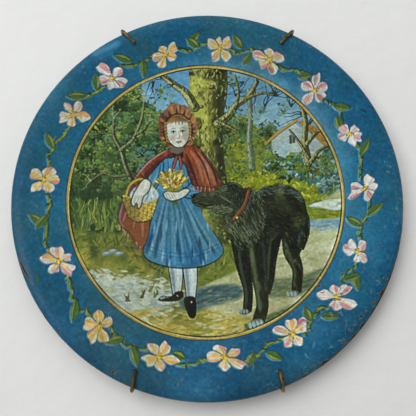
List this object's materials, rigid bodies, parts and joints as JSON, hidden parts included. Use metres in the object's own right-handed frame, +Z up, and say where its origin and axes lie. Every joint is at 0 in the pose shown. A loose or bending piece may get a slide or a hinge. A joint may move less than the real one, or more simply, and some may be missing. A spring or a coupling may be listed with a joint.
{
  "type": "round tin tray in a wall hanger",
  "caption": "Shallow round tin tray with a wide printed border and a curled rim, held to the wall by a sprung wire hanger that hooks over its rim.",
  "frame": {"origin": "where the wall nail bears, on the underside of the upper wire's peak, in the plane of the hanger's wires", "axes": "+Z up the wall, +X to the right of someone facing the tray, -Y out of the wall towards that person"},
  "size_m": [0.254, 0.0156, 0.254],
  "materials": {
    "lithographed_tin": "lithographed and varnished tinplate, worn at the rim",
    "hanger_brass": "bare brass wire, dull and tarnished brown",
    "spring_steel": "plated steel spring wire, dulled"
  },
  "bodies": {
    "upper_hanger": {"upper_wire": "hanger_brass", "left_spring": "spring_steel", "right_spring": "spring_steel"},
    "lower_hanger": {"lower_wire": "hanger_brass"},
    "tray": {"tray_pan": "lithographed_tin"}
  },
  "joints": [
    {"name": "tray_turn", "type": "hinge", "parent": "upper_hanger", "child": "tray", "pos_m": [0, -0.0068, -0.09723], "axis": [0, -1, 0], "continuous": true},
    {"name": "lower_wire_pull", "type": "slide", "parent": "upper_hanger", "child": "lower_hanger", "axis": [0, 0, -1], "range_m": [0, 0.016], "stiffness_N_per_m": 600, "springref_m": -0.012, "deforming": ["left_spring", "right_spring"]}
  ]
}
